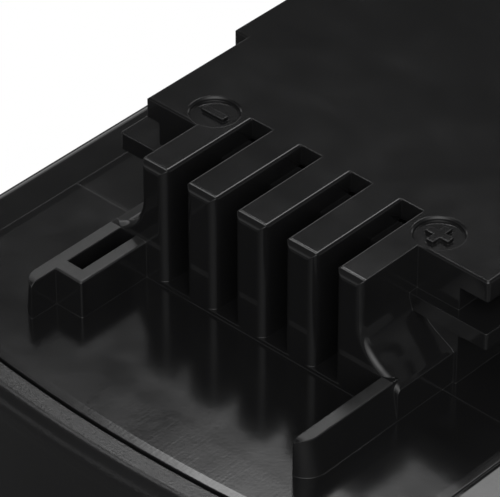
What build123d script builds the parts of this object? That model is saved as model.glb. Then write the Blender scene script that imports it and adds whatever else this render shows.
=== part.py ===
from build123d import *
import os
from math import atan2, cos, pi, radians, sin, sqrt, tan

# A slide-on battery pack for cordless power tools, in millimetres.
# X runs across the pack, Y from its terminal end (negative) to its latch end, and Z up from its base.
# The origin is the middle of the base.

# Body
pack_length = 115.0
pack_width = 76.0
deck_height = 32.0
shoulder_width = 6.5
deck_rise = 0.25
deck_crown_width = 1.0
deck_crown_drop = 0.07
shoulder_flat = 0.4
shoulder_slope = 7.0
shoulder_radius = 2.2
front_bow_radius = 180.0
corner_radius = 9.0
front_round = 1.8
inner_round = 0.6
base_round = 1.6
wall = 2.2
overrun = 1.0
edge_round = 0.25

# Joint between the two shells
parting_height = 25.0
lip_height = 1.5
seam_gap = 0.25
rim_setback = 3.9
rim_gap = 0.3
rim_corner_radius = 6.0
rim_step = 8.0
ledge_width = 1.0
ledge_thickness = 1.6

# Top plate and rails
plate_rise = 14.7
plate_setback = 7.7
plate_half_width = 24.2
plate_thickness = 2.5
plate_edge_round = 0.2
ear_round = 0.35
notch_half_width = 22.3
notch_end = 23.0
neck_half_width = 20.6
rail_half_width = 25.2
rail_drop = 5.3
rail_thickness = 2.0
rail_setback = 6.5
line_setback = 6.0
line_width = 0.2
line_depth = 0.1

# Terminal comb
comb_setback = 21.2
slot_count = 4
slot_pitch = 6.84
slot_width = 2.7
slot_length = 12.3
slot_floor = 0.5
comb_half_width = 15.1
comb_front_round = 0.85
ridge_round = 1.0
lip_round = 0.35
core_wall = 1.2
core_drop = 3.0
chamber_setback = 11.9
flare_drop = 4.9
flare_radius = 5.2
flare_turn = 62.0
flare_half_width = 19.5
flare_edge_round = 0.8
web_half_width = 20.2
web_edge = 0.35

# Arms that stand in front of the comb, and the socket box inside the left one
arm_half_width = 19.5
arm_foot_half_width = 20.2
arm_top_width = 1.4
arm_foot_width = 2.1
arm_length = 14.0
arm_drop = 10.1
arm_corner_round = 2.0
arm_foot_corner_round = 2.4
arm_nose_round = 1.0
box_width = 3.7
box_length = 10.4
pocket_width = 2.2
pocket_length = 7.85
pocket_setback = 0.85
pocket_floor = 1.0

# Polarity marks
mark_offset_x = 15.35
mark_setback = 10.6
mark_diameter = 5.3
mark_depth = 0.5
mark_rim = 0.2
mark_rim_slope = 45.0
mark_stroke = 0.85
mark_length = 3.0
mark_clear = 0.1

# Stop block at the latch end
stop_setback = 19.5
block_round = 3.0
block_corner_round = 1.5

# Release latch
latch_travel = 4.5
latch_half_width = 14.1
latch_gap = 0.4
latch_depth = 10.7
latch_flush = 0.3
latch_height = 16.0
latch_round = 0.8
latch_top_round = 0.4
latch_bar_half_width = 9.0
latch_bar_thickness = 3.5
latch_bar_clear = 3.7
tooth_half_width = 8.0
tooth_length = 8.0
tooth_rise = 3.0
tooth_land = 2.5
tooth_setback = 18.0
stop_wing_half_width = 12.0
stop_wing_length = 4.5
stop_wing_gap = 0.3
stop_wing_setback = 0.8
scoop_radius = 22.0
scoop_depth = 1.3
grip_count = 5
grip_pitch = 2.2
grip_width = 0.9
grip_half_length = 9.0
grip_margin = 0.9
grip_sink = 0.4
cradle_wall = 1.6
cradle_floor = 2.0
spring_bore = 6.4
spring_bore_depth = 7.0
spring_offset_x = 8.0
spigot_diameter = 3.4
spigot_height = 2.4

# Latch springs
spring_wire = 0.6
spring_diameter = 5.0
spring_turns = 6
spring_seat = 0.08
spring_gap_samples = 240

# Cells and their frames
cell_diameter = 18.2
cell_side_room = 3.3
cell_pitch = 18.7
cell_front_room = 21.1
cell_rear_room = 19.0
cell_lift = 0.8
cell_fit = 0.1
cell_edge_round = 0.7
cell_groove_offset = 3.5
cell_groove_depth = 0.35
cell_groove_radius = 0.8
button_top_diameter = 9.0
button_top_recess = 0.4
frame_inner_half = 20.0
frame_gap = 0.3
frame_end_wall = 1.2
frame_top_wall = 1.8
frame_rim = 1.4
foam_thickness = 0.7
foam_half_width = 15.0

# Straps and insulation sheets
strap_thickness = 0.3
strap_height = 9.0
strap_end_margin = 4.5
strap_slit = 0.8
tab_width = 4.0
tab_clear = 0.4
tab_reach = 2.3
sheet_thickness = 0.4
sheet_margin = 0.6

# Protection board
board_thickness = 1.6
board_lift = 1.6
board_side_room = 11.0
board_margin = 3.5
board_corner = 2.0
peg_diameter = 4.2
peg_side_inset = 4.6
peg_inset = 4.0
board_screw_diameter = 2.0
board_screw_fit = 0.05
board_screw_length = 4.2
board_head_diameter = 3.8
board_head_height = 1.3
chip_size = 7.0
chip_height = 1.2
transistor_length = 10.0
transistor_width = 8.0
transistor_height = 2.2
shunt_length = 8.0
shunt_width = 4.0
shunt_height = 1.0
chip_x = -8.0
chip_setback = 29.9
transistor_x = 13.0
transistor_lead = 11.1
capacitor_x = 11.0
capacitor_setback = 19.9
capacitor_diameter = 6.3
capacitor_height = 7.5
bead_diameter = 2.2
bead_length = 4.0
bead_gap = 0.05
bead_wire = 0.5
bead_wire_gap = 2.4

# Terminal clips and carrier
clip_thickness = 0.5
clip_width = 2.9
clip_mouth = 2.1
clip_jaw = 0.9
clip_length = 7.0
clip_height = 10.0
clip_lift = 1.2
clip_foot_width = 1.6
clip_setback = 0.4
carrier_gap = 0.6
carrier_length = 8.6
carrier_height = 13.6
carrier_slot = 3.6
carrier_margin = 1.6

# Charge gauge
gauge_height = 13.0
gauge_panel_length = 34.0
gauge_panel_height = 9.5
gauge_panel_depth = 0.4
gauge_panel_round = 2.0
window_count = 4
window_pitch = 3.6
window_diameter = 2.2
window_fit = 0.1
window_center = -5.5
lens_thickness = 1.4
lens_height = 4.0
lens_margin = 1.6
push_center = 9.5
push_diameter = 7.0
push_fit = 0.2
push_flange = 0.9
push_flange_gap = 0.3
push_flange_thickness = 0.9
push_flush = 0.3
push_travel = 0.4
switch_size = 6.0
switch_height = 1.6
plunger_diameter = 2.4
plunger_rise = 0.5
plunger_depth = 0.8
plunger_fit = 0.1
gauge_board_thickness = 1.2
gauge_board_half_length = 15.0
gauge_board_height = 13.5
post_diameter = 3.6
stake_diameter = 1.6
stake_reach = 0.6
post_offset_x = 13.6
post_offset_z = 5.2
light_size = 1.6
light_height = 0.8
ribbon_thickness = 0.6
ribbon_width = 7.0
ribbon_overlap = 4.0
ribbon_lift = 0.9

# Screws that close the shells
screw_front_x = 14.0
screw_rear_inset = 12.0
screw_front_setback = 8.2
screw_rear_setback = 5.0
screw_diameter = 2.9
screw_fit = 0.05
screw_length = 16.0
screw_head_diameter = 5.2
screw_head_height = 2.2
screw_socket_diameter = 2.6
screw_socket_depth = 1.2
head_clear = 0.2
head_recess = 4.0
post_radius = 3.4
boss_radius = 2.7
post_height = 15.0

# Grip panels on the sides and the bare panel under the base
grip_panel_length = 46.0
grip_panel_height = 13.0
grip_panel_depth = 0.6
grip_panel_round = 3.0
grip_panel_lift = 5.5
grip_rib_count = 3
grip_rib_height = 1.6
base_panel_length = 52.0
base_panel_width = 44.0
base_panel_depth = 0.4

# Places that follow from the sizes above
half_length = pack_length / 2
half_width = pack_width / 2
deck_half_width = half_width - shoulder_width
shoulder_top = deck_height - deck_rise
hollow_top = shoulder_top - wall
plate_top = deck_height + plate_rise
plate_under = plate_top - plate_thickness
rim_y = -half_length + rim_setback
step_y = rim_y + rim_step
comb_y = rim_y + comb_setback
comb_front_y = comb_y - comb_front_round
plate_y = comb_y + plate_setback
rail_y = comb_y + rail_setback
line_y = comb_y + line_setback
notch_y = comb_y + notch_end
slot_end_y = comb_y + slot_length
chamber_y = comb_y + chamber_setback
stop_y = half_length - stop_setback
rear_y = half_length
arm_top = plate_top - arm_drop
cell_length = 2 * (half_width - wall - cell_side_room)
cell_count = int((pack_length - cell_front_room - cell_rear_room) / cell_pitch) + 1
cell_z = wall + cell_lift + cell_diameter / 2
frame_top = cell_z + cell_diameter / 2 + frame_top_wall
frame_outer = half_width - wall - frame_gap
board_z = frame_top + board_lift
board_top = board_z + board_thickness
board_half_width = half_width - board_side_room
peg_offset_x = board_half_width - peg_side_inset
latch_bottom = plate_top - latch_flush - latch_height
latch_floor = latch_bottom - latch_travel - latch_gap
latch_front_y = rear_y - latch_flush - latch_depth
latch_bar_top = plate_under - latch_bar_clear
latch_bar_bottom = latch_bar_top - latch_bar_thickness
tooth_y = stop_y - tooth_setback
inner_rear = rear_y - wall
push_back = inner_rear - push_flange_gap - push_flange_thickness
switch_face = push_back - plunger_rise
gauge_board_face = switch_face - switch_height
gauge_board_y = gauge_board_face - gauge_board_thickness
carrier_y = chamber_y + carrier_gap
transistor_y = carrier_y - transistor_lead
capacitor_y = carrier_y + capacitor_setback
chip_y = carrier_y + chip_setback
screw_rear_x = half_width - screw_rear_inset
screw_places = [
    (-screw_front_x, -half_length + screw_front_setback, deck_height),
    (screw_front_x, -half_length + screw_front_setback, deck_height),
    (-screw_rear_x, rear_y - screw_rear_setback, plate_top),
    (screw_rear_x, rear_y - screw_rear_setback, plate_top),
]


def slot_x(index):
    """Where slot number index lies across the pack."""
    return (index - (slot_count - 1) / 2) * slot_pitch


def cell_y(index):
    """Where cell number index lies along the pack."""
    return cell_front_room - half_length + index * cell_pitch


def block(x_low, x_high, y_low, y_high, z_low, z_high, mode=Mode.ADD):
    """A plain block between two corners."""
    with BuildSketch(Plane.XY.offset(z_low)) as foot:
        with Locations(((x_low + x_high) / 2, (y_low + y_high) / 2)):
            Rectangle(x_high - x_low, y_high - y_low)
    return extrude(foot.sketch, amount=z_high - z_low, mode=mode)


def post(x, y, radius, z_low, z_high, mode=Mode.ADD):
    """An upright cylinder."""
    with BuildSketch(Plane.XY.offset(z_low)) as foot:
        with Locations((x, y)):
            Circle(radius)
    return extrude(foot.sketch, amount=z_high - z_low, mode=mode)


def rod_along_y(x, z, radius, y_low, y_high, mode=Mode.ADD):
    """A cylinder that lies along the pack."""
    with BuildSketch(Plane.XZ.offset(-y_high)) as foot:
        with Locations((x, z)):
            Circle(radius)
    return extrude(foot.sketch, amount=y_high - y_low, mode=mode)


def bowed_outline(z, half, front, rear, bow, front_corner, rear_corner):
    """A rectangle seen from above whose front side bows out, with rounded corners."""
    corner_y = front + bow - sqrt(bow**2 - half**2)
    with BuildSketch(Plane.XY.offset(z)) as outline:
        with BuildLine():
            Polyline((half, corner_y), (half, rear), (-half, rear), (-half, corner_y))
            ThreePointArc((-half, corner_y), (0, front), (half, corner_y))
        make_face()
        fillet(outline.vertices().group_by(Axis.Y)[0], front_corner)
        if rear_corner > 0:
            fillet(outline.vertices().group_by(Axis.Y)[-1], rear_corner)
    return outline.sketch


def body_outline(inset, z):
    """The pack seen from above, drawn in by inset."""
    corner = corner_radius - inset
    return bowed_outline(z, half_width - inset, inset - half_length, half_length - inset,
                         front_bow_radius - inset, corner, corner)


def deck_outline(grow, z):
    """The raised deck seen from above, grown by grow."""
    return bowed_outline(z, deck_half_width + grow, rim_y - grow, stop_y + wall,
                         front_bow_radius + grow, rim_corner_radius + grow, 0)


def body_form(inset, top_round, side_round, bottom_round):
    """The outer form of both shells together, or their hollow when it is drawn in by the wall."""
    top = shoulder_top - inset
    half = half_width - inset
    slope_start = deck_half_width + shoulder_flat
    side_top = top - (half - slope_start) * tan(radians(shoulder_slope))
    with BuildPart() as form:
        extrude(body_outline(inset, inset), amount=top - inset)
        fillet(form.edges().group_by(Axis.Z)[-1], top_round)
        if bottom_round > 0:
            fillet(form.edges().group_by(Axis.Z)[0], bottom_round)
        with BuildSketch(Plane.XZ) as section:
            with BuildLine():
                Polyline((-half, inset), (half, inset), (half, side_top), (slope_start, top),
                         (-slope_start, top), (-half, side_top), close=True)
            make_face()
            corners = section.vertices().filter_by(lambda corner: abs(corner.X) > half - edge_round)
            fillet(corners.group_by(Axis.Y)[-1], side_round)
        extrude(amount=pack_length, both=True, mode=Mode.INTERSECT)
    return form.part


def stop_form(inset):
    """The block that rises at the latch end, or its hollow."""
    with BuildPart() as form:
        extrude(body_outline(inset, parting_height), amount=plate_top - inset - parting_height)
        with BuildSketch(Plane.XY.offset(parting_height)):
            with Locations((0, (stop_y + inset + pack_length) / 2)):
                Rectangle(pack_width, pack_length - stop_y - inset)
        extrude(amount=plate_rise + deck_height, mode=Mode.INTERSECT)
        fillet(form.edges().filter_by(Axis.Z).group_by(Axis.Y)[0], block_corner_round)
        fillet(form.edges().group_by(Axis.Z)[-1], block_round - inset)
    return form.part


def lower_region(side_gap, front_gap):
    """All that belongs to the lower shell: below the parting, its lip, and the shoulder round the front."""
    with BuildPart() as region:
        block(-half_width - overrun, half_width + overrun, -half_length - overrun, half_length + overrun,
              -overrun, parting_height - side_gap)
        extrude(body_outline(wall / 2 + side_gap, parting_height - side_gap), amount=lip_height)
        block(-half_width - overrun, half_width + overrun, -half_length - overrun, step_y - side_gap,
              parting_height - side_gap, deck_height + overrun)
        extrude(deck_outline(front_gap, hollow_top), amount=plate_rise, mode=Mode.SUBTRACT)
    return region.part


board_front = cell_y(0) - board_margin
board_rear = cell_y(cell_count - 1) + board_margin
block_front = cell_y(0) - cell_diameter / 2 - cell_fit - frame_end_wall
block_rear = cell_y(cell_count - 1) + cell_diameter / 2 + cell_fit + frame_end_wall
peg_places = [
    (side * peg_offset_x, y)
    for side in (-1, 1)
    for y in (board_front + peg_inset, board_rear - peg_inset)
]
outer_form = body_form(0, front_round, shoulder_radius, base_round)
inner_form = body_form(wall, inner_round, inner_round, 0)
outer_stop = stop_form(0)
inner_stop = stop_form(wall)
cradle_front = latch_front_y - latch_gap - cradle_wall
cradle_half = latch_half_width + latch_gap + cradle_wall
cradle_low = latch_floor - cradle_floor
cradle_rear = rear_y - wall / 2

# Lower housing
with BuildPart() as lower_housing:
    add(outer_form)
    add(outer_stop)
    add(inner_form, mode=Mode.SUBTRACT)
    add(inner_stop, mode=Mode.SUBTRACT)
    add(lower_region(seam_gap, rim_gap), mode=Mode.INTERSECT)
    # A ledge under the front edge of the deck
    extrude(deck_outline(rim_gap + wall, hollow_top - ledge_thickness), amount=ledge_thickness)
    extrude(deck_outline(-ledge_width, hollow_top - ledge_thickness), amount=ledge_thickness,
            mode=Mode.SUBTRACT)
    block(-half_width, half_width, step_y - seam_gap, half_length, lip_height + parting_height,
          plate_top, mode=Mode.SUBTRACT)
    # Screw posts, with their counterbores in the base
    for x, y, top in screw_places:
        post(x, y, post_radius, wall, post_height)
    for x, y, top in screw_places:
        post(x, y, screw_diameter / 2 + screw_fit, 0, post_height, mode=Mode.SUBTRACT)
        post(x, y, screw_head_diameter / 2 + head_clear, 0, head_recess, mode=Mode.SUBTRACT)
        post(x, y, boss_radius + head_clear, post_height, deck_height, mode=Mode.SUBTRACT)
    # Room for the latch cradle
    block(-cradle_half - frame_gap, cradle_half + frame_gap, cradle_front - frame_gap,
          cradle_rear + frame_gap, cradle_low - frame_gap, plate_top, mode=Mode.SUBTRACT)
    # Recessed gauge panel with its windows and the hole for its push button
    with BuildSketch(Plane.XZ.offset(-rear_y)) as panel:
        with Locations((0, gauge_height)):
            RectangleRounded(gauge_panel_length, gauge_panel_height, gauge_panel_round)
    extrude(amount=gauge_panel_depth, mode=Mode.SUBTRACT)
    for index in range(window_count):
        window_x = window_center + (index - (window_count - 1) / 2) * window_pitch
        rod_along_y(window_x, gauge_height, window_diameter / 2, inner_rear, rear_y, mode=Mode.SUBTRACT)
    rod_along_y(push_center, gauge_height, push_diameter / 2 + push_fit, inner_rear, rear_y,
                mode=Mode.SUBTRACT)
    # Posts and heat stakes that hold the gauge board
    for side in (-1, 1):
        rod_along_y(side * post_offset_x, gauge_height - post_offset_z, post_diameter / 2,
                    gauge_board_face, inner_rear)
        rod_along_y(side * post_offset_x, gauge_height - post_offset_z, stake_diameter / 2,
                    gauge_board_y - stake_reach, gauge_board_face)
    # Grip panels
    for side in (-1, 1):
        with BuildSketch(Plane.YZ.offset(side * half_width)):
            with Locations((0, grip_panel_lift + grip_panel_height / 2)):
                RectangleRounded(grip_panel_length, grip_panel_height, grip_panel_round)
            with GridLocations(0, grip_panel_height / grip_rib_count, 1, grip_rib_count):
                with Locations((0, grip_panel_lift + grip_panel_height / 2)):
                    SlotOverall(grip_panel_length - 2 * grip_panel_round, grip_rib_height,
                                mode=Mode.SUBTRACT)
        extrude(amount=-side * grip_panel_depth, mode=Mode.SUBTRACT)
    # Bare panel under the base
    with BuildSketch(Plane.XY):
        RectangleRounded(base_panel_width, base_panel_length, grip_panel_round)
    extrude(amount=base_panel_depth, mode=Mode.SUBTRACT)
lower_housing.part.label = "lower_housing"


def flare_profile():
    """The comb seen from the front: straight flanks that flare out to a web over the deck."""
    turn = radians(flare_turn)
    flare_top = plate_top - flare_drop
    bend_x = comb_half_width + flare_radius * (1 - cos(turn))
    bend_z = flare_top - flare_radius * sin(turn)
    middle_x = comb_half_width + flare_radius * (1 - cos(turn / 2))
    middle_z = flare_top - flare_radius * sin(turn / 2)
    end_z = bend_z - (flare_half_width - bend_x) / tan(turn)
    web_z = end_z - (web_half_width - flare_half_width - web_edge) / tan(turn)
    with BuildSketch(Plane.XZ.offset(-comb_front_y)) as profile:
        with BuildLine():
            for side in (-1, 1):
                Polyline((0, hollow_top), (side * web_half_width, hollow_top),
                         (side * web_half_width, web_z - web_edge),
                         (side * (web_half_width - web_edge), web_z), (side * bend_x, bend_z))
                ThreePointArc((side * bend_x, bend_z), (side * middle_x, middle_z),
                              (side * comb_half_width, flare_top))
                Polyline((side * comb_half_width, flare_top), (side * comb_half_width, plate_top),
                         (0, plate_top))
        make_face()
    return profile.sketch


def slot_profile(index):
    """A blade slot seen from the front, with rounded lips at its top."""
    middle = slot_x(index)
    half = slot_width / 2
    floor = deck_height + slot_floor
    bow = lip_round * (1 - sqrt(1 / 2))
    with BuildSketch(Plane.XZ.offset(-slot_end_y)) as profile:
        with BuildLine():
            for side in (-1, 1):
                Polyline((middle, floor), (middle + side * half, floor),
                         (middle + side * half, plate_top - lip_round))
                ThreePointArc((middle + side * half, plate_top - lip_round),
                              (middle + side * (half + bow), plate_top - bow),
                              (middle + side * (half + lip_round), plate_top))
                Polyline((middle + side * (half + lip_round), plate_top),
                         (middle + side * (half + lip_round), plate_top + overrun),
                         (middle, plate_top + overrun))
        make_face()
    return profile.sketch


def slot_mouth(index):
    """The opening of a blade slot seen from above, between the rounded front corners of two ridges."""
    middle = slot_x(index)
    half = slot_width / 2
    bow = ridge_round * (1 - sqrt(1 / 2))
    with BuildSketch(Plane.XY.offset(deck_height + slot_floor)) as mouth:
        with BuildLine():
            for side in (-1, 1):
                Line((middle, comb_front_y + ridge_round),
                     (middle + side * half, comb_front_y + ridge_round))
                ThreePointArc((middle + side * half, comb_front_y + ridge_round),
                              (middle + side * (half + bow), comb_front_y + bow),
                              (middle + side * (half + ridge_round), comb_front_y))
                Polyline((middle + side * (half + ridge_round), comb_front_y),
                         (middle + side * (half + ridge_round), comb_front_y - overrun),
                         (middle, comb_front_y - overrun))
        make_face()
    return mouth.sketch


def front_waste(front_y, top_z, rounding):
    """What a round between a front face and a top face takes away, seen from the side."""
    bow = rounding * (1 - sqrt(1 / 2))
    with BuildSketch(Plane.YZ) as waste:
        with BuildLine():
            ThreePointArc((front_y, top_z - rounding), (front_y + bow, top_z - bow),
                          (front_y + rounding, top_z))
            Polyline((front_y + rounding, top_z), (front_y + rounding, top_z + overrun),
                     (front_y - overrun, top_z + overrun), (front_y - overrun, top_z - rounding),
                     (front_y, top_z - rounding))
        make_face()
    return waste.sketch


def arm_section(side, z, outside, width, corner_round):
    """An arm seen from above, with its outer front corner rounded."""
    front = comb_y - arm_length
    inside = outside - width
    bow = corner_round * (1 - sqrt(1 / 2))
    inner_front = front + corner_round - sqrt(corner_round**2 - (corner_round - width)**2)
    with BuildSketch(Plane.XY.offset(z)) as section:
        with BuildLine():
            Polyline((side * outside, front + corner_round), (side * outside, comb_y),
                     (side * inside, comb_y), (side * inside, inner_front))
            ThreePointArc((side * inside, inner_front), (side * (outside - bow), front + bow),
                          (side * outside, front + corner_round))
        make_face()
    return section.sketch


def arm(side):
    """One arm in front of the comb, standing on the deck: its outer face leans and its nose is rounded."""
    with BuildPart() as one:
        add(arm_section(side, deck_height, arm_foot_half_width, arm_foot_width, arm_foot_corner_round))
        add(arm_section(side, arm_top, arm_half_width, arm_top_width, arm_corner_round))
        loft()
        extrude(one.faces().sort_by(Axis.Z)[0], amount=deck_height - hollow_top)
        extrude(front_waste(comb_y - arm_length, arm_top, arm_nose_round), amount=plate_half_width,
                both=True, mode=Mode.SUBTRACT)
    return one.part


def screw_bosses():
    """Bosses that hang from the cover and take the screws."""
    with BuildPart() as bosses:
        for x, y, top in screw_places:
            post(x, y, boss_radius, post_height, top - wall / 2)
    return bosses.part


# Comb of ridges and blade slots
with BuildPart() as comb:
    extrude(flare_profile(), amount=comb_front_y - slot_end_y - overrun)
    front_edges = comb.edges().group_by(Axis.Y)[0]
    flank_edges = front_edges.filter_by(lambda edge: abs(edge.center().X) > comb_half_width - edge_round)
    fillet(flank_edges.filter_by(lambda edge: edge.bounding_box().min.Z > arm_top), flare_edge_round)
    extrude(front_waste(comb_front_y, plate_top, comb_front_round), amount=plate_half_width, both=True,
            mode=Mode.SUBTRACT)
    for index in range(slot_count):
        extrude(slot_profile(index), amount=slot_length + comb_front_round + overrun, mode=Mode.SUBTRACT)
        extrude(slot_mouth(index), amount=plate_rise, mode=Mode.SUBTRACT)

# Top plate with its keying notch
with BuildPart() as top_plate:
    block(-plate_half_width, plate_half_width, plate_y, stop_y + wall, plate_under, plate_top)
    block(-plate_half_width - overrun, -notch_half_width, plate_y - overrun, notch_y,
          plate_under - overrun, plate_top + overrun, mode=Mode.SUBTRACT)
    corners = top_plate.edges().filter_by(Axis.Z).filter_by(lambda edge: edge.center().Y < stop_y)
    fillet(corners.filter_by(lambda edge: abs(edge.center().X) > plate_half_width - edge_round), ear_round)
    rim = top_plate.edges().group_by(Axis.Z)[-1].filter_by(lambda edge: edge.center().Y < stop_y + wall / 2)
    chamfer(rim, plate_edge_round)
    block(-comb_half_width, comb_half_width, plate_y - overrun, slot_end_y + overrun,
          plate_under - overrun, plate_top + overrun, mode=Mode.SUBTRACT)

# Lower rails
with BuildPart() as rails:
    block(-rail_half_width, rail_half_width, rail_y, stop_y + wall,
          plate_top - rail_drop - rail_thickness, plate_top - rail_drop)
    corners = rails.edges().filter_by(Axis.Z).group_by(Axis.Y)[0]
    fillet(corners, ear_round)

# Deck, which falls slightly towards its rim
with BuildPart() as deck:
    extrude(deck_outline(0, hollow_top), amount=deck_height - deck_crown_drop - hollow_top)
    add(deck_outline(0, deck_height - deck_crown_drop))
    add(deck_outline(-deck_crown_width, deck_height))
    loft()

left_arm = arm(-1)
right_arm = arm(1)

# Socket box inside the left arm
box_outer = arm_half_width - arm_top_width
with BuildPart() as socket_box:
    block(-box_outer - arm_top_width / 2, box_width - box_outer, comb_y - box_length, comb_y + overrun,
          hollow_top, arm_top)
    fillet(socket_box.edges().filter_by(Axis.Z).group_by(Axis.Y)[0].sort_by(Axis.X)[-1], edge_round)
    rim = socket_box.edges().group_by(Axis.Z)[-1].filter_by(lambda edge: edge.center().Y < comb_y)
    fillet(rim, edge_round)
    block(-box_outer, pocket_width - box_outer, comb_y - pocket_setback - pocket_length,
          comb_y - pocket_setback, deck_height + pocket_floor, arm_top, mode=Mode.SUBTRACT)

# Upper cover
with BuildPart() as upper_cover:
    add(outer_form)
    add(outer_stop)
    add(lower_region(0, 0), mode=Mode.SUBTRACT)
    add(deck.part)
    # Neck, with the top plate, the rails and the comb on it
    block(-neck_half_width, neck_half_width, plate_y, stop_y + wall, hollow_top, plate_under)
    add(top_plate.part)
    add(rails.part)
    add(comb.part)
    add(left_arm)
    add(right_arm)
    add(socket_box.part)
    # Hollow
    add(inner_form, mode=Mode.SUBTRACT)
    add(inner_stop, mode=Mode.SUBTRACT)
    block(wall - neck_half_width, neck_half_width - wall, chamber_y, stop_y + wall + overrun,
          hollow_top - overrun, plate_under, mode=Mode.SUBTRACT)
    # Cores inside the ridges
    for index in range(slot_count - 1):
        ridge_x = (slot_x(index) + slot_x(index + 1)) / 2
        core_half = (slot_pitch - slot_width) / 2 - core_wall
        block(ridge_x - core_half, ridge_x + core_half, comb_front_y + core_wall, chamber_y,
              hollow_top, plate_top - core_drop, mode=Mode.SUBTRACT)
    # Witness lines across the deck
    for side in (-1, 1):
        inner = side * web_half_width
        outer = side * (deck_half_width + overrun)
        block(min(inner, outer), max(inner, outer), line_y - line_width / 2, line_y + line_width / 2,
              deck_height - line_depth, deck_height + overrun, mode=Mode.SUBTRACT)
    # Latch window, cradle and its opening
    block(-cradle_half, cradle_half, cradle_front, cradle_rear, cradle_low, plate_top - wall / 2)
    block(-latch_half_width - latch_gap, latch_half_width + latch_gap, latch_front_y - latch_gap,
          rear_y + overrun, latch_floor, plate_top + overrun, mode=Mode.SUBTRACT)
    block(-latch_bar_half_width - latch_gap, latch_bar_half_width + latch_gap, cradle_front - overrun,
          latch_front_y, latch_bar_bottom - latch_travel - latch_gap, plate_under, mode=Mode.SUBTRACT)
    block(-tooth_half_width - latch_gap, tooth_half_width + latch_gap, tooth_y - latch_gap,
          tooth_y + tooth_length + latch_gap, plate_under - overrun, plate_top + overrun,
          mode=Mode.SUBTRACT)
    for side in (-1, 1):
        post(side * spring_offset_x, (latch_front_y + rear_y - latch_flush) / 2, spigot_diameter / 2,
             latch_floor, latch_floor + spigot_height)
    # Screw bosses
    add(screw_bosses())
    for x, y, top in screw_places:
        post(x, y, screw_diameter / 2 + screw_fit, post_height, head_recess + screw_length + overrun,
             mode=Mode.SUBTRACT)
    # Polarity marks: shallow round recesses with a raised minus and plus
    for side in (-1, 1):
        post(side * mark_offset_x, comb_y + mark_setback, mark_diameter / 2, plate_top - mark_depth,
             plate_top + overrun, mode=Mode.SUBTRACT)
        with BuildSketch(Plane.XY.offset(plate_top - mark_rim)):
            with Locations((side * mark_offset_x, comb_y + mark_setback)):
                Circle(mark_diameter / 2)
        extrude(amount=mark_rim, taper=-mark_rim_slope, mode=Mode.SUBTRACT)
        with BuildSketch(Plane.XY.offset(plate_top - mark_depth)):
            with Locations((side * mark_offset_x, comb_y + mark_setback)):
                Rectangle(mark_length, mark_stroke)
                if side > 0:
                    Rectangle(mark_stroke, mark_length)
        extrude(amount=mark_depth - mark_clear)
upper_cover.part.label = "upper_cover"


# Release latch: a thumb block at the rear, a bar under the plate and a tooth through its window
latch_mid_y = (latch_front_y + rear_y - latch_flush) / 2
latch_rear = rear_y - latch_flush
latch_top = plate_top - latch_flush
tooth_end = tooth_y + tooth_length
wing_y = tooth_end + stop_wing_setback
with BuildPart() as release_latch:
    block(-latch_half_width, latch_half_width, latch_front_y, latch_rear, latch_bottom, latch_top)
    fillet(release_latch.edges().filter_by(Axis.Z), latch_round)
    fillet(release_latch.edges().group_by(Axis.Z)[-1], latch_top_round)
    with BuildSketch(Plane.YZ):
        with Locations((latch_rear + scoop_radius - scoop_depth, (latch_bottom + latch_top) / 2)):
            Circle(scoop_radius)
    extrude(amount=grip_half_length + grip_margin, both=True, mode=Mode.SUBTRACT)
    for index in range(grip_count):
        grip_z = (latch_bottom + latch_top) / 2 + (index - (grip_count - 1) / 2) * grip_pitch
        block(-grip_half_length, grip_half_length, latch_mid_y, latch_rear - grip_sink,
              grip_z - grip_width / 2, grip_z + grip_width / 2)
    block(-latch_bar_half_width, latch_bar_half_width, tooth_y, latch_front_y + latch_gap,
          latch_bar_bottom, latch_bar_top)
    block(-stop_wing_half_width, stop_wing_half_width, wing_y, wing_y + stop_wing_length,
          latch_bar_bottom, plate_under - stop_wing_gap)
    with BuildSketch(Plane.YZ) as tooth_side:
        with BuildLine():
            Polyline((tooth_y, latch_bar_bottom), (tooth_end, latch_bar_bottom),
                     (tooth_end, plate_top + tooth_rise), (tooth_end - tooth_land, plate_top + tooth_rise),
                     (tooth_y, plate_top - latch_flush), close=True)
        make_face()
    extrude(amount=tooth_half_width, both=True)
    fillet(release_latch.edges().group_by(Axis.Z)[-1], edge_round)
    for side in (-1, 1):
        post(side * spring_offset_x, latch_mid_y, spring_bore / 2, latch_bottom,
             latch_bottom + spring_bore_depth, mode=Mode.SUBTRACT)
release_latch.part.label = "release_latch"


def helix_point(center, pitch, turns):
    """A point on a spring's centre line, this many turns up from its low end, and its direction there."""
    angle = 2 * pi * turns
    radius = spring_diameter / 2
    place = center + Vector(radius * cos(angle), radius * sin(angle), pitch * turns)
    way = Vector(-2 * pi * radius * sin(angle), 2 * pi * radius * cos(angle), pitch).normalized()
    return place, way


def arc_middle(near, apex, far):
    """The middle of the arc from near to far whose end tangents meet at apex."""
    middle = (near + far) / 2
    turn = 2 * atan2((apex - middle).length, (far - near).length / 2)
    return middle + (apex - middle) * tan(turn / 4) / tan(turn / 2)


def least_gap(line):
    """How near the wire comes to itself, from points along its centre line."""
    points = [line @ (step / spring_gap_samples) for step in range(spring_gap_samples + 1)]
    apart = spring_gap_samples // (2 * spring_turns)
    distances = [
        (points[later] - points[first]).length
        for first in range(len(points))
        for later in range(first + apart, len(points))
    ]
    return min(distances) - spring_wire


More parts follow.
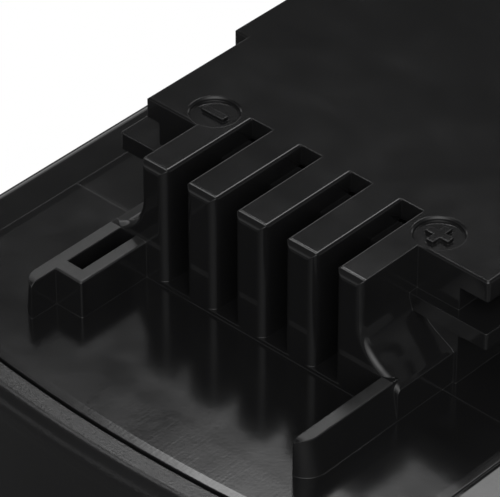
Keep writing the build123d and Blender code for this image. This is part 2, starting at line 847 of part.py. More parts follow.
def latch_spring(side):
    """A compression spring from the cradle floor into the latch's bore, each half turn on two arcs."""
    low = latch_floor + spring_wire / 2 + spring_seat
    high = latch_bottom + spring_bore_depth - spring_wire / 2 - spring_seat
    center = Vector(side * spring_offset_x, latch_mid_y, low)
    pitch = (high - low) / spring_turns
    with BuildPart() as spring:
        with BuildLine() as path:
            foot, foot_way = helix_point(center, pitch, 0)
            Line(foot - foot_way * spring_wire, foot)
            for half_turn in range(2 * spring_turns):
                start, start_way = helix_point(center, pitch, half_turn / 2)
                end, end_way = helix_point(center, pitch, (half_turn + 1) / 2)
                span = end - start
                lean = span.dot(start_way + end_way)
                spread = 1 - start_way.dot(end_way)
                reach = (sqrt(lean**2 + 2 * spread * span.dot(span)) - lean) / (2 * spread)
                first_apex = start + start_way * reach
                second_apex = end - end_way * reach
                middle = (first_apex + second_apex) / 2
                ThreePointArc(start, arc_middle(start, first_apex, middle), middle)
                ThreePointArc(middle, arc_middle(middle, second_apex, end), end)
            head, head_way = helix_point(center, pitch, spring_turns)
            Line(head, head + head_way * spring_wire)
        with BuildSketch(Plane(origin=path.line @ 0, z_dir=path.line % 0)):
            Circle(spring_wire / 2)
        sweep(path=path.line)
    print("least gap between the turns of the spring", round(least_gap(path.line), 2))
    return spring.part


def cell(index):
    """One round cell lying across the pack, with its plus end to the left or the right in turn."""
    side = 1 if index % 2 == 0 else -1
    plus_face = side * cell_length / 2
    groove_middle = plus_face - side * cell_groove_offset
    ring_width = cell_diameter / 2 - cell_edge_round - button_top_recess
    with BuildPart() as one:
        with BuildSketch(Plane.YZ.offset(-cell_length / 2)):
            with Locations((cell_y(index), cell_z)):
                Circle(cell_diameter / 2)
        extrude(amount=cell_length)
        fillet(one.edges().filter_by(GeomType.CIRCLE), cell_edge_round)
        with BuildSketch(Plane.YZ.offset(groove_middle)):
            with Locations((cell_y(index), cell_z)):
                Circle(cell_diameter / 2 + overrun)
                Circle(cell_diameter / 2 - cell_groove_depth, mode=Mode.SUBTRACT)
        extrude(amount=cell_groove_radius, both=True, mode=Mode.SUBTRACT)
        with BuildSketch(Plane.YZ.offset(plus_face)):
            with Locations((cell_y(index), cell_z)):
                Circle(ring_width)
                Circle(button_top_diameter / 2, mode=Mode.SUBTRACT)
        extrude(amount=-side * button_top_recess, mode=Mode.SUBTRACT)
    return one.part


def strap_cells(side):
    """Which cells each strap on one side joins, so that all cells lie in series."""
    if side < 0:
        starts = range(0, cell_count, 2)
    else:
        starts = range(-1, cell_count, 2)
    return [(max(first, 0), min(first + 1, cell_count - 1)) for first in starts]


def tab_y(pair):
    """Where a strap's tab rises."""
    return (cell_y(pair[0]) + cell_y(pair[1])) / 2


def cell_frame(side):
    """The moulded holder round one end of all cells."""
    inner = side * frame_inner_half
    outer = side * frame_outer
    cell_end = side * cell_length / 2
    with BuildPart() as frame:
        block(min(inner, outer), max(inner, outer), block_front, block_rear, wall, frame_top)
        outside = frame.edges().filter_by(Axis.Z).sort_by(lambda edge: abs(edge.center().X))[-2:]
        fillet(outside, board_corner)
        for index in range(cell_count):
            with BuildSketch(Plane.YZ.offset(inner)):
                with Locations((cell_y(index), cell_z)):
                    Circle(cell_diameter / 2 + cell_fit)
            extrude(amount=cell_end - inner, mode=Mode.SUBTRACT)
        block(min(cell_end, outer + side * overrun), max(cell_end, outer + side * overrun),
              block_front + frame_rim, block_rear - frame_rim, wall + frame_rim, frame_top - frame_rim,
              mode=Mode.SUBTRACT)
        for pair in strap_cells(side):
            block(min(cell_end, outer + side * overrun), max(cell_end, outer + side * overrun),
                  tab_y(pair) - tab_width / 2 - tab_clear, tab_y(pair) + tab_width / 2 + tab_clear,
                  frame_top - frame_rim - overrun, frame_top + overrun, mode=Mode.SUBTRACT)
        for x, y in peg_places:
            if x * side > 0:
                post(x, y, peg_diameter / 2, frame_top, board_z)
        for x, y in peg_places:
            if x * side > 0:
                post(x, y, board_screw_diameter / 2 + board_screw_fit, board_top - board_screw_length,
                     board_z, mode=Mode.SUBTRACT)
    return frame.part


def strap(side, pair):
    """A nickel strap on the cell ends, with a tab that reaches over the board."""
    face = side * cell_length / 2
    back = face + side * strap_thickness
    reach = side * (board_half_width - tab_reach)
    middle = tab_y(pair)
    with BuildPart() as one:
        block(min(face, back), max(face, back), cell_y(pair[0]) - strap_end_margin,
              cell_y(pair[1]) + strap_end_margin, cell_z - strap_height / 2, cell_z + strap_height / 2)
        block(min(face, back), max(face, back), middle - tab_width / 2, middle + tab_width / 2,
              cell_z, board_top + strap_thickness)
        block(min(reach, back), max(reach, back), middle - tab_width / 2, middle + tab_width / 2,
              board_top, board_top + strap_thickness)
        for index in sorted(set(pair)):
            block(min(face, back), max(face, back), cell_y(index) - strap_slit / 2,
                  cell_y(index) + strap_slit / 2, cell_z - strap_height / 2, cell_z, mode=Mode.SUBTRACT)
    return one.part


def insulation_sheet(side):
    """A sheet that covers the straps on one side."""
    near = side * (cell_length / 2 + strap_thickness)
    far = near + side * sheet_thickness
    with BuildPart() as sheet:
        block(min(near, far), max(near, far), block_front + frame_rim + sheet_margin,
              block_rear - frame_rim - sheet_margin, wall + frame_rim + sheet_margin,
              frame_top - frame_rim - sheet_margin)
    return sheet.part


# Foam strip under the cells
with BuildPart() as foam_strip:
    block(-foam_half_width, foam_half_width, cell_y(0) - cell_diameter / 2,
          cell_y(cell_count - 1) + cell_diameter / 2, wall, wall + foam_thickness)
foam_strip.part.label = "foam_strip"

# Protection board
with BuildPart() as protection_board:
    block(-board_half_width, board_half_width, board_front, board_rear, board_z, board_top)
    fillet(protection_board.edges().filter_by(Axis.Z), board_corner)
    for x, y in peg_places:
        post(x, y, board_screw_diameter / 2 + board_screw_fit, board_z, board_top, mode=Mode.SUBTRACT)
protection_board.part.label = "protection_board"

with BuildPart() as board_screws:
    for x, y in peg_places:
        post(x, y, board_screw_diameter / 2, board_top - board_screw_length, board_top)
        post(x, y, board_head_diameter / 2, board_top, board_top + board_head_height)
board_screws.part.label = "board_screws"


def board_piece(name, places, length, width, height, rounding):
    """Equal parts that are soldered to the protection board."""
    with BuildPart() as group:
        for x, y in places:
            block(x - length / 2, x + length / 2, y - width / 2, y + width / 2,
                  board_top, board_top + height)
        fillet(group.edges().filter_by(Axis.Z), rounding)
    group.part.label = name
    return group.part


controller_chip = board_piece(
    "controller_chip", [(chip_x, chip_y)], chip_size, chip_size, chip_height, edge_round)
power_transistors = board_piece(
    "power_transistors", [(-transistor_x, transistor_y), (transistor_x, transistor_y)],
    transistor_length, transistor_width, transistor_height, edge_round)
shunt_resistor = board_piece(
    "shunt_resistor", [(0, transistor_y)], shunt_length, shunt_width, shunt_height, edge_round)

with BuildPart() as capacitors:
    for side in (-1, 1):
        post(side * capacitor_x, capacitor_y, capacitor_diameter / 2, board_top,
             board_top + capacitor_height)
    fillet(capacitors.edges().group_by(Axis.Z)[-1], edge_round)
capacitors.part.label = "capacitors"

# Temperature sensor on the middle cell, with its two legs
bead_z = cell_z + cell_diameter / 2 + bead_gap + bead_diameter / 2
bead_y = cell_y(cell_count // 2)
with BuildPart() as thermistor:
    with BuildSketch(Plane.YZ.offset(-bead_length / 2)):
        with Locations((bead_y, bead_z)):
            Circle(bead_diameter / 2)
    extrude(amount=bead_length)
    for side in (-1, 1):
        post(side * bead_wire_gap / 2, bead_y, bead_wire / 2, bead_z, board_z)
thermistor.part.label = "thermistor"

# Carrier that holds the terminal clips behind the slots
carrier_half = slot_x(slot_count - 1) + carrier_slot / 2 + carrier_margin
clip_rear = carrier_y + clip_setback + clip_length
with BuildPart() as terminal_carrier:
    block(-carrier_half, carrier_half, carrier_y, carrier_y + carrier_length,
          board_top, board_top + carrier_height)
    for index in range(slot_count):
        block(slot_x(index) - carrier_slot / 2, slot_x(index) + carrier_slot / 2, carrier_y,
              clip_rear + clip_thickness, board_top, board_top + carrier_height, mode=Mode.SUBTRACT)
terminal_carrier.part.label = "terminal_carrier"


def terminal_clip(index):
    """A spring clip that grips a tool blade: two leaves that close to a jaw and open to a mouth."""
    middle = slot_x(index)
    low = board_top + clip_lift
    half_back = (clip_width - clip_thickness) / 2
    half_jaw = (clip_jaw + clip_thickness) / 2
    half_mouth = (clip_mouth + clip_thickness) / 2
    front = carrier_y + clip_setback
    with BuildPart() as clip:
        with BuildSketch(Plane.XY.offset(low)):
            with BuildLine():
                Polyline((middle - half_mouth, front), (middle - half_jaw, front + clip_length / 4),
                         (middle - half_back, clip_rear - clip_length / 4), (middle - half_back, clip_rear),
                         (middle + half_back, clip_rear), (middle + half_back, clip_rear - clip_length / 4),
                         (middle + half_jaw, front + clip_length / 4), (middle + half_mouth, front))
            trace(line_width=clip_thickness)
        extrude(amount=clip_height)
        block(middle - clip_foot_width / 2, middle + clip_foot_width / 2, clip_rear - clip_thickness / 2,
              clip_rear + clip_thickness / 2, board_top, low + clip_lift)
    return clip.part


# Charge gauge
window_reach = (window_count - 1) / 2 * window_pitch
with BuildPart() as gauge_board:
    with BuildSketch(Plane.XZ.offset(-gauge_board_face)):
        with Locations((0, gauge_height)):
            Rectangle(2 * gauge_board_half_length, gauge_board_height)
        for side in (-1, 1):
            with Locations((side * post_offset_x, gauge_height - post_offset_z)):
                Circle(stake_diameter / 2 + board_screw_fit, mode=Mode.SUBTRACT)
    extrude(amount=gauge_board_thickness)
gauge_board.part.label = "gauge_board"

with BuildPart() as gauge_lens:
    with BuildSketch(Plane.XZ.offset(-inner_rear)):
        with Locations((window_center, gauge_height)):
            Rectangle(2 * (window_reach + window_diameter / 2 + lens_margin), lens_height)
    extrude(amount=lens_thickness)
    for index in range(window_count):
        rod_along_y(window_center + (index - (window_count - 1) / 2) * window_pitch, gauge_height,
                    window_diameter / 2 - window_fit, inner_rear, rear_y - gauge_panel_depth)
gauge_lens.part.label = "gauge_lens"

with BuildPart() as gauge_lights:
    for index in range(window_count):
        light_x = window_center + (index - (window_count - 1) / 2) * window_pitch
        block(light_x - light_size / 2, light_x + light_size / 2, gauge_board_face,
              gauge_board_face + light_height, gauge_height - light_size / 2, gauge_height + light_size / 2)
gauge_lights.part.label = "gauge_lights"

with BuildPart() as gauge_button:
    rod_along_y(push_center, gauge_height, push_diameter / 2, push_back, rear_y - push_flush)
    fillet(gauge_button.edges().group_by(Axis.Y)[-1], edge_round)
    rod_along_y(push_center, gauge_height, push_diameter / 2 + push_flange, push_back,
                push_back + push_flange_thickness)
gauge_button.part.label = "gauge_button"

with BuildPart() as tact_switch:
    block(push_center - switch_size / 2, push_center + switch_size / 2, gauge_board_face, switch_face,
          gauge_height - switch_size / 2, gauge_height + switch_size / 2)
    rod_along_y(push_center, gauge_height, plunger_diameter / 2 + plunger_fit,
                switch_face - plunger_depth - push_travel - plunger_fit, switch_face, mode=Mode.SUBTRACT)
tact_switch.part.label = "tact_switch"

with BuildPart() as switch_plunger:
    rod_along_y(push_center, gauge_height, plunger_diameter / 2, switch_face - plunger_depth, push_back)
switch_plunger.part.label = "switch_plunger"

# Ribbon between the two boards
ribbon_low = cell_z + cell_diameter / 2 + ribbon_lift
with BuildPart() as gauge_ribbon:
    block(-ribbon_width / 2, ribbon_width / 2, gauge_board_y - ribbon_thickness, gauge_board_y,
          gauge_height, ribbon_low + ribbon_thickness)
    block(-ribbon_width / 2, ribbon_width / 2, board_rear - ribbon_overlap, gauge_board_y,
          ribbon_low, ribbon_low + ribbon_thickness)
    block(-ribbon_width / 2, ribbon_width / 2, board_rear - ribbon_overlap,
          board_rear - ribbon_overlap + ribbon_thickness, ribbon_low, board_z)
gauge_ribbon.part.label = "gauge_ribbon"

# Screws that close the shells
with BuildPart() as housing_screws:
    for x, y, top in screw_places:
        post(x, y, screw_diameter / 2, head_recess, head_recess + screw_length)
        post(x, y, screw_head_diameter / 2, head_recess - screw_head_height, head_recess)
        with BuildSketch(Plane.XY.offset(head_recess - screw_head_height)):
            with Locations((x, y)):
                RegularPolygon(screw_socket_diameter / 2, 6)
        extrude(amount=screw_socket_depth, mode=Mode.SUBTRACT)
housing_screws.part.label = "housing_screws"

named = [
    lower_housing.part, upper_cover.part, release_latch.part, foam_strip.part, protection_board.part,
    board_screws.part, controller_chip, power_transistors, shunt_resistor, capacitors.part, thermistor.part,
    terminal_carrier.part, gauge_board.part, gauge_lens.part, gauge_lights.part, gauge_button.part,
    tact_switch.part, switch_plunger.part, gauge_ribbon.part, housing_screws.part,
]


def name_and_keep(part, label):
    """Names a piece and puts it with the others."""
    part.label = label
    named.append(part)


for side, side_name in ((-1, "left"), (1, "right")):
    name_and_keep(latch_spring(side), f"latch_spring_{side_name}")
    name_and_keep(cell_frame(side), f"cell_frame_{side_name}")
    name_and_keep(insulation_sheet(side), f"insulation_sheet_{side_name}")
    for number, pair in enumerate(strap_cells(side)):
        name_and_keep(strap(side, pair), f"strap_{side_name}_{number + 1}")
for index in range(cell_count):
    name_and_keep(cell(index), f"cell_{index + 1}")
for index in range(slot_count):
    name_and_keep(terminal_clip(index), f"terminal_clip_{index + 1}")

os.makedirs("parts", exist_ok=True)
for part in named:
    export_step(part, f"parts/{part.label}.step")
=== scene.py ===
import math

import bpy
from mathutils import Matrix, Vector


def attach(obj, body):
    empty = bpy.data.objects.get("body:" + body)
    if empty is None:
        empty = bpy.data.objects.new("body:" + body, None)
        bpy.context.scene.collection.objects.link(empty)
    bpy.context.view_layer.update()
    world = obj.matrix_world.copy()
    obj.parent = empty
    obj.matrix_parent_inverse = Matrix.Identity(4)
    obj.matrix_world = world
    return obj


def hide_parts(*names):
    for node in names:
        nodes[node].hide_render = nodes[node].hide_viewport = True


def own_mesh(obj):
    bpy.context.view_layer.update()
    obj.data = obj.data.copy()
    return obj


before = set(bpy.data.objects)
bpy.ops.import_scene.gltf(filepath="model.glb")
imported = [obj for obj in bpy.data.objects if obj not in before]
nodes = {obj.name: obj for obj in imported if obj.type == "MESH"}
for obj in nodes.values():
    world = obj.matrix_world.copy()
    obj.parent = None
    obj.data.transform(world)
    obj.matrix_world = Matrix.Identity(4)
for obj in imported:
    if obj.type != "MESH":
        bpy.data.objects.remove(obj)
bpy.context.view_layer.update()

# Camera, as worked out from the photographed comb: place in metres, lens and sensor in millimetres
camera_azimuth = math.radians(42.88)
camera_elevation = math.radians(37.32)
camera_place = (0.2125, -0.2618, 0.2811)
camera_lens = 281.2
camera_sensor = 36.0

# Round windows: the direction that the light comes from, strength, radius and soft edge in degrees
main_window = ((-0.46, 0.4995, 0.7338), 7.4, 5.0, 3.0)
back_window = ((-0.2, 0.6, 0.77), 4.0, 9.0, 8.0)
left_window = ((-0.78, 0.58, 0.22), 0.45, 9.0, 6.0)
edge_window = ((-0.54, 0.2, 0.82), 3.5, 5.0, 5.0)
side_window = ((-0.55, -0.78, 0.3), 0.3, 6.0, 8.0)

# The other lights, with the glow's reach in degrees
even_light = 0.06
glow_strength = 0.55
glow_reach = 3.2
fill_strength = 2.4
fill_sharpness = 6.0
horizon_strength = 0.7
horizon_side = (-0.8, 0.6, 0)
horizon_shadow = 0.25
horizon_top = 0.3
horizon_bottom = 0.12

# Floor and background
white = (1, 1, 1, 1)
floor_gray = 0.16
floor_size = 4.0

# Noise of the materials: scale per metre, detail and roughness
shade_noise = (90, 4, 0.6)
gloss_noise = (160, 5, 0.65)
wave_noise = (45, 2, 0.5)
worn_noise = (700, 4, 0.6)
cover_grain_noise = (2600, 3, 0.5)
shell_grain_noise = (4200, 3, 0.5)
small_grain_noise = (900, 3, 0.5)
sparkle_noise = (3200, 2, 0.5)
brush_scales = (4000, 350, 350)
brush_detail = 3
brush_roughness = 0.6

# Depth of the relief, in metres
relief_strength = 0.5
wave_depth = 0.00014
cover_grain_depth = 0.000004
housing_grain_depth = 0.00003
latch_grain_depth = 0.00001
small_grain_depth = 0.00002
brush_depth = 0.000012
sparkle_depth = 0.00012
bevel_radius = 0.00016
small_bevel_radius = 0.0001
bevel_samples = 8

# Black plastics: the colour, how many times lighter it gets, and the roughness
black = (0.0095, 0.0095, 0.0098, 1)
cover_shade_shares = (1.0, 1.3)
housing_shade_shares = (1.0, 1.6)
latch_shade_shares = (1.3, 2.2)
cover_roughness = (0.06, 0.2)
housing_roughness = (0.2, 0.3)
latch_roughness = (0.25, 0.34)
satin_dark = (0.012, 0.012, 0.0122, 1)
satin_light = (0.045, 0.045, 0.0455, 1)
satin_roughness = 0.22

# How far a small piece's colour and roughness go below and above their values
small_shade_shares = (0.85, 1.12)
small_gloss_shares = (0.9, 1.15)

# Zones of the shells in the frame's metres, and the width of their soft edges
arm_tops = {"X": (-0.023, 0.023), "Y": (-0.05, -0.0332), "Z": (0.0364, 0.0372)}
arm_tops_edge = 0.0001
deck_front = {"X": (-0.04, 0.04), "Y": (-0.06, -0.047), "Z": (0.0315, 0.033)}
deck_front_edge = 0.001
shoulder_front = {"X": (-0.024, 0.04), "Y": (-0.06, -0.046), "Z": (0.0285, 0.0316)}
shoulder_front_edge = 0.0005


def numbered(stem, count):
    """Names of alike nodes that differ in their number."""
    return [f"{stem}_{index + 1}" for index in range(count)]


# Small pieces' finishes: colour, roughness, share of metal and nodes
small_finishes = {
    "button_rubber": ((0.02, 0.02, 0.021), 0.6, 0, ["gauge_button"]),
    "cell_sleeve": ((0.05, 0.2, 0.28), 0.35, 0, numbered("cell", 5)),
    "frame_plastic": ((0.03, 0.03, 0.032), 0.5, 0, ["cell_frame_left", "cell_frame_right"]),
    "nickel": ((0.6, 0.58, 0.54), 0.3, 1, numbered("strap_left", 3) + numbered("strap_right", 3)),
    "fish_paper": ((0.42, 0.48, 0.4), 0.8, 0, ["insulation_sheet_left", "insulation_sheet_right"]),
    "foam": ((0.04, 0.04, 0.042), 0.95, 0, ["foam_strip"]),
    "board_green": ((0.01, 0.1, 0.035), 0.3, 0, ["protection_board", "gauge_board"]),
    "chip_plastic": ((0.015, 0.015, 0.016), 0.45, 0,
                     ["controller_chip", "power_transistors", "switch_plunger"]),
    "bare_metal": ((0.5, 0.48, 0.44), 0.3, 1, ["shunt_resistor", "tact_switch"]),
    "can_aluminium": ((0.72, 0.72, 0.73), 0.28, 1, ["capacitors"]),
    "bead": ((0.25, 0.08, 0.03), 0.4, 0, ["thermistor"]),
    "screw_black": ((0.04, 0.04, 0.042), 0.35, 1, ["housing_screws", "board_screws"]),
    "spring_steel": ((0.56, 0.56, 0.55), 0.25, 1, ["latch_spring_left", "latch_spring_right"]),
    "carrier_ivory": ((0.45, 0.41, 0.32), 0.5, 0, ["terminal_carrier"]),
    "contact_copper": ((0.78, 0.52, 0.3), 0.25, 1, numbered("terminal_clip", 4)),
    "light_ivory": ((0.7, 0.66, 0.5), 0.4, 0, ["gauge_lights"]),
    "ribbon_amber": ((0.5, 0.22, 0.04), 0.35, 0, ["gauge_ribbon"]),
    "lens_frosted": ((0.6, 0.62, 0.63), 0.35, 0, ["gauge_lens"]),
}


def add_node(tree, kind, **values):
    """Makes a shader node and sets the named sockets' values."""
    node = tree.nodes.new(kind)
    for name, value in values.items():
        node.inputs[name].default_value = value
    return node


def empty_material(name):
    """A node material without nodes."""
    material = bpy.data.materials.new(name)
    material.use_nodes = True
    material.node_tree.nodes.clear()
    return material, material.node_tree


def new_material(name):
    """A material with its shader joined to its output."""
    material, tree = empty_material(name)
    shader = tree.nodes.new("ShaderNodeBsdfPrincipled")
    output = tree.nodes.new("ShaderNodeOutputMaterial")
    tree.links.new(shader.outputs["BSDF"], output.inputs["Surface"])
    return material, tree, shader


def object_coordinates(tree):
    """Coordinates fixed to the object, in metres."""
    return tree.nodes.new("ShaderNodeTexCoord").outputs["Object"]


def noise(tree, scale, detail, roughness):
    """Noise over the object's own coordinates."""
    node = add_node(tree, "ShaderNodeTexNoise", Scale=scale, Detail=detail, Roughness=roughness)
    tree.links.new(object_coordinates(tree), node.inputs["Vector"])
    return node.outputs["Fac"]


def stretched_noise(tree, scales, detail, roughness):
    """Noise with its own scale along each axis."""
    mapping = add_node(tree, "ShaderNodeMapping", Scale=scales)
    tree.links.new(object_coordinates(tree), mapping.inputs["Vector"])
    node = add_node(tree, "ShaderNodeTexNoise", Scale=1, Detail=detail, Roughness=roughness)
    tree.links.new(mapping.outputs["Vector"], node.inputs["Vector"])
    return node.outputs["Fac"]


def spread(tree, source, low, high):
    """Maps a 0 to 1 value to low to high."""
    node = tree.nodes.new("ShaderNodeMapRange")
    node.inputs["To Min"].default_value = low
    node.inputs["To Max"].default_value = high
    tree.links.new(source, node.inputs["Value"])
    return node.outputs["Result"]


def color_mix(tree, factor):
    """A node that mixes two colours by a value."""
    node = tree.nodes.new("ShaderNodeMix")
    node.data_type = "RGBA"
    tree.links.new(factor, node.inputs["Factor"])
    return node


def tint(tree, source, dark, light):
    """Goes from one fixed colour to another with a value."""
    node = color_mix(tree, source)
    node.inputs["A"].default_value = dark
    node.inputs["B"].default_value = light
    return node.outputs["Result"]


def relief(tree, height, depth, normal):
    """Raises and lowers the surface a little, on top of another relief."""
    bump = add_node(tree, "ShaderNodeBump", Strength=relief_strength, Distance=depth)
    tree.links.new(height, bump.inputs["Height"])
    tree.links.new(normal, bump.inputs["Normal"])
    return bump.outputs["Normal"]


def rounded(tree, radius):
    """The surface's direction with its edges slightly rounded."""
    bevel = add_node(tree, "ShaderNodeBevel", Radius=radius)
    bevel.samples = bevel_samples
    return bevel.outputs["Normal"]


def compute(tree, operation, *values):
    """One step of arithmetic on sockets and numbers."""
    node = tree.nodes.new("ShaderNodeMath")
    node.operation = operation
    for index, value in enumerate(values):
        if isinstance(value, (int, float)):
            node.inputs[index].default_value = value
        else:
            tree.links.new(value, node.inputs[index])
    return node.outputs["Value"]


def zone(tree, limits, edge):
    """One inside a box of the object's coordinates and nought outside it, with soft edges."""
    split = tree.nodes.new("ShaderNodeSeparateXYZ")
    tree.links.new(object_coordinates(tree), split.inputs["Vector"])
    inside = 1.0
    for axis, (low, high) in limits.items():
        for limit, sign in ((low, 1), (high, -1)):
            past = compute(tree, "SUBTRACT", split.outputs[axis], limit)
            step = compute(tree, "MULTIPLY", past, sign / edge)
            step = compute(tree, "MINIMUM", compute(tree, "MAXIMUM", step, 0), 1)
            inside = compute(tree, "MULTIPLY", step, inside)
    return inside


def shade(color, share):
    """A colour made lighter or darker."""
    return tuple(channel * share for channel in color[:3]) + (1,)


def shades(color, shares):
    """A colour's darkest and lightest shade."""
    return [shade(color, share) for share in shares]


def cover_plastic():
    """Glossy black with slow waves, brushed near the deck's front edge and satin on the arms' tops."""
    material, tree, shader = new_material("cover_black")
    satin = zone(tree, arm_tops, arm_tops_edge)
    colors = color_mix(tree, satin)
    gloss = tint(tree, noise(tree, *shade_noise), *shades(black, cover_shade_shares))
    worn = tint(tree, noise(tree, *worn_noise), satin_dark, satin_light)
    tree.links.new(gloss, colors.inputs["A"])
    tree.links.new(worn, colors.inputs["B"])
    tree.links.new(colors.outputs["Result"], shader.inputs["Base Color"])
    smooth = spread(tree, noise(tree, *gloss_noise), *cover_roughness)
    rougher = compute(tree, "MULTIPLY_ADD", satin, satin_roughness, smooth)
    tree.links.new(rougher, shader.inputs["Roughness"])
    normal = relief(tree, noise(tree, *wave_noise), wave_depth, rounded(tree, bevel_radius))
    normal = relief(tree, noise(tree, *cover_grain_noise), cover_grain_depth, normal)
    strokes = stretched_noise(tree, brush_scales, brush_detail, brush_roughness)
    brushed = compute(tree, "MULTIPLY", strokes, zone(tree, deck_front, deck_front_edge))
    tree.links.new(relief(tree, brushed, brush_depth, normal), shader.inputs["Normal"])
    return material


def plastic(name, dark, light, roughness, grain_noise, grain_depth, rounding, metallic=0):
    """Moulded plastic or metal with slight differences in shade, gloss and height, and its parts."""
    material, tree, shader = new_material(name)
    shader.inputs["Metallic"].default_value = metallic
    tree.links.new(tint(tree, noise(tree, *shade_noise), dark, light), shader.inputs["Base Color"])
    tree.links.new(spread(tree, noise(tree, *gloss_noise), *roughness), shader.inputs["Roughness"])
    normal = relief(tree, noise(tree, *grain_noise), grain_depth, rounded(tree, rounding))
    tree.links.new(normal, shader.inputs["Normal"])
    return material, tree, shader, normal


def housing_plastic():
    """Black with fine grain, which is coarser and glints on the shoulder's front."""
    material, tree, shader, normal = plastic(
        "housing_black", *shades(black, housing_shade_shares), housing_roughness,
        shell_grain_noise, housing_grain_depth, bevel_radius)
    glints = noise(tree, *sparkle_noise)
    coarse = compute(tree, "MULTIPLY", glints, zone(tree, shoulder_front, shoulder_front_edge))
    tree.links.new(relief(tree, coarse, sparkle_depth, normal), shader.inputs["Normal"])
    return material


def latch_plastic():
    """Satin black, a little lighter than the shells."""
    return plastic("latch_black", *shades(black, latch_shade_shares), latch_roughness,
                   shell_grain_noise, latch_grain_depth, bevel_radius)[0]


def small_finish(name, color, rough, metallic):
    """A small piece's material from one colour."""
    roughness = [rough * share for share in small_gloss_shares]
    return plastic(name, *shades(color, small_shade_shares), roughness,
                   small_grain_noise, small_grain_depth, small_bevel_radius, metallic)[0]


def assign(material, names):
    """Puts a material on CAD nodes."""
    for name in names:
        mesh = nodes[name].data
        mesh.materials.clear()
        mesh.materials.append(material)


def latch_spring(name):
    """A copy of the CAD node's spring in the node's place, held by the pack, with the CAD node hidden.
    """
    spring = bpy.data.objects.new(f"{name}_coil", nodes[name].data.copy())
    bpy.context.scene.collection.objects.link(spring)
    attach(spring, "pack")
    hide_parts(name)
    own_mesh(spring)


def white_to_camera(tree, lit, plain, output_kind):
    """Shows the plain shader to the camera and the lit one to all else."""
    seen = tree.nodes.new("ShaderNodeLightPath")
    mix = tree.nodes.new("ShaderNodeMixShader")
    output = tree.nodes.new(output_kind)
    tree.links.new(seen.outputs["Is Camera Ray"], mix.inputs[0])
    tree.links.new(lit.outputs[0], mix.inputs[1])
    tree.links.new(plain.outputs[0], mix.inputs[2])
    tree.links.new(mix.outputs[0], output.inputs["Surface"])


def make_floor():
    """A plain floor that is gray to the object and white to the camera."""
    half = floor_size / 2
    corners = [(-half, -half, 0), (half, -half, 0), (half, half, 0), (-half, half, 0)]
    mesh = bpy.data.meshes.new("floor")
    mesh.from_pydata(corners, [], [range(len(corners))])
    floor = bpy.data.objects.new("floor", mesh)
    bpy.context.scene.collection.objects.link(floor)
    material, tree = empty_material("floor_pale")
    gray = add_node(tree, "ShaderNodeBsdfDiffuse", Color=(floor_gray, floor_gray, floor_gray, 1))
    plain = add_node(tree, "ShaderNodeEmission", Color=white, Strength=1)
    white_to_camera(tree, gray, plain, "ShaderNodeOutputMaterial")
    mesh.materials.append(material)


def towards(sky, direction):
    """How far the looked-at direction agrees with this one, from -1 to 1."""
    looked_at = sky.nodes.new("ShaderNodeTexCoord").outputs["Generated"]
    node = sky.nodes.new("ShaderNodeVectorMath")
    node.operation = "DOT_PRODUCT"
    sky.links.new(looked_at, node.inputs[0])
    node.inputs[1].default_value = Vector(direction).normalized()
    return node.outputs["Value"]


def fade(sky, source, near, far, strength):
    """A light that falls smoothly to nothing between two values of its source."""
    node = sky.nodes.new("ShaderNodeMapRange")
    node.interpolation_type = "SMOOTHSTEP"
    node.inputs["From Min"].default_value = near
    node.inputs["From Max"].default_value = far
    node.inputs["To Min"].default_value = strength
    node.inputs["To Max"].default_value = 0
    sky.links.new(source, node.inputs["Value"])
    return node.outputs["Result"]


def window_light(sky, direction, strength, radius, edge):
    """A round light with a soft edge."""
    angle = compute(sky, "ARCCOSINE", towards(sky, direction))
    return fade(sky, angle, math.radians(radius - edge / 2), math.radians(radius + edge / 2), strength)


def glow_light(sky, direction, strength, reach):
    """A light that fades with the angle from its middle."""
    angle = compute(sky, "ARCCOSINE", towards(sky, direction))
    falloff = compute(sky, "EXPONENT", compute(sky, "DIVIDE", angle, -math.radians(reach)))
    return compute(sky, "MULTIPLY", falloff, strength)


def fill_light(sky, direction):
    """A broad light round the camera's direction."""
    facing = compute(sky, "MAXIMUM", towards(sky, direction), 0)
    return compute(sky, "MULTIPLY", compute(sky, "POWER", facing, fill_sharpness), fill_strength)


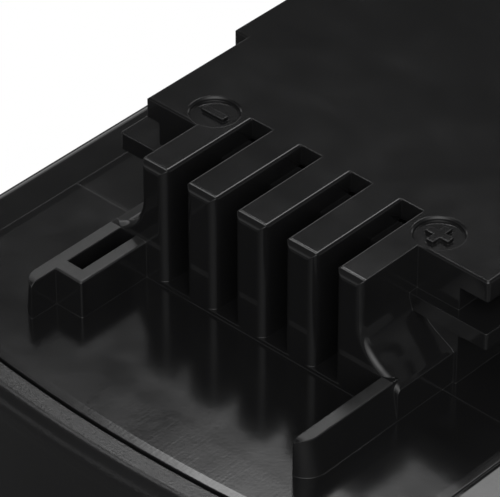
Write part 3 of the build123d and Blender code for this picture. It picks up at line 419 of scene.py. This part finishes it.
def horizon_light(sky):
    """A bright band low down all round, weaker away from its side."""
    band = fade(sky, towards(sky, (0, 0, 1)), horizon_bottom, horizon_top, horizon_strength)
    change = (1 - horizon_shadow) / 2
    middle = (1 + horizon_shadow) / 2
    side = compute(sky, "MULTIPLY_ADD", towards(sky, horizon_side), change, middle)
    return compute(sky, "MULTIPLY", band, side)


def make_world(camera_direction):
    """All the lights added up, and plain white where the camera sees the world."""
    world = bpy.data.worlds.new("studio")
    bpy.context.scene.world = world
    world.use_nodes = True
    sky = world.node_tree
    sky.nodes.clear()
    windows = (main_window, back_window, left_window, edge_window, side_window)
    parts = [window_light(sky, *window) for window in windows]
    parts.append(glow_light(sky, main_window[0], glow_strength, glow_reach))
    parts.append(fill_light(sky, camera_direction))
    parts.append(horizon_light(sky))
    lights = even_light
    for part in parts:
        lights = compute(sky, "ADD", part, lights)
    studio = add_node(sky, "ShaderNodeBackground", Color=white)
    sky.links.new(lights, studio.inputs["Strength"])
    plain = add_node(sky, "ShaderNodeBackground", Color=white)
    white_to_camera(sky, studio, plain, "ShaderNodeOutputWorld")


def make_camera():
    """The photograph's camera, which gives the direction from the object back to it."""
    back = Vector((math.sin(camera_azimuth) * math.cos(camera_elevation),
                   -math.cos(camera_azimuth) * math.cos(camera_elevation),
                   math.sin(camera_elevation)))
    right = Vector((math.cos(camera_azimuth), math.sin(camera_azimuth), 0))
    up = back.cross(right)
    data = bpy.data.cameras.new("camera")
    data.lens = camera_lens
    data.sensor_width = camera_sensor
    camera = bpy.data.objects.new("camera", data)
    bpy.context.scene.collection.objects.link(camera)
    turn = Matrix((right, up, back)).transposed().to_4x4()
    camera.matrix_world = Matrix.Translation(camera_place) @ turn
    bpy.context.scene.camera = camera
    return back


# Shells and latch
assign(cover_plastic(), ["upper_cover"])
assign(housing_plastic(), ["lower_housing"])
assign(latch_plastic(), ["release_latch"])

# Small pieces
for finish, (color, rough, metallic, names) in small_finishes.items():
    assign(small_finish(finish, color, rough, metallic), names)

# Springs in the CAD nodes' places, held by the pack
latch_spring("latch_spring_left")
latch_spring("latch_spring_right")

# Studio
make_floor()
make_world(make_camera())
bpy.context.scene.view_settings.view_transform = "Standard"
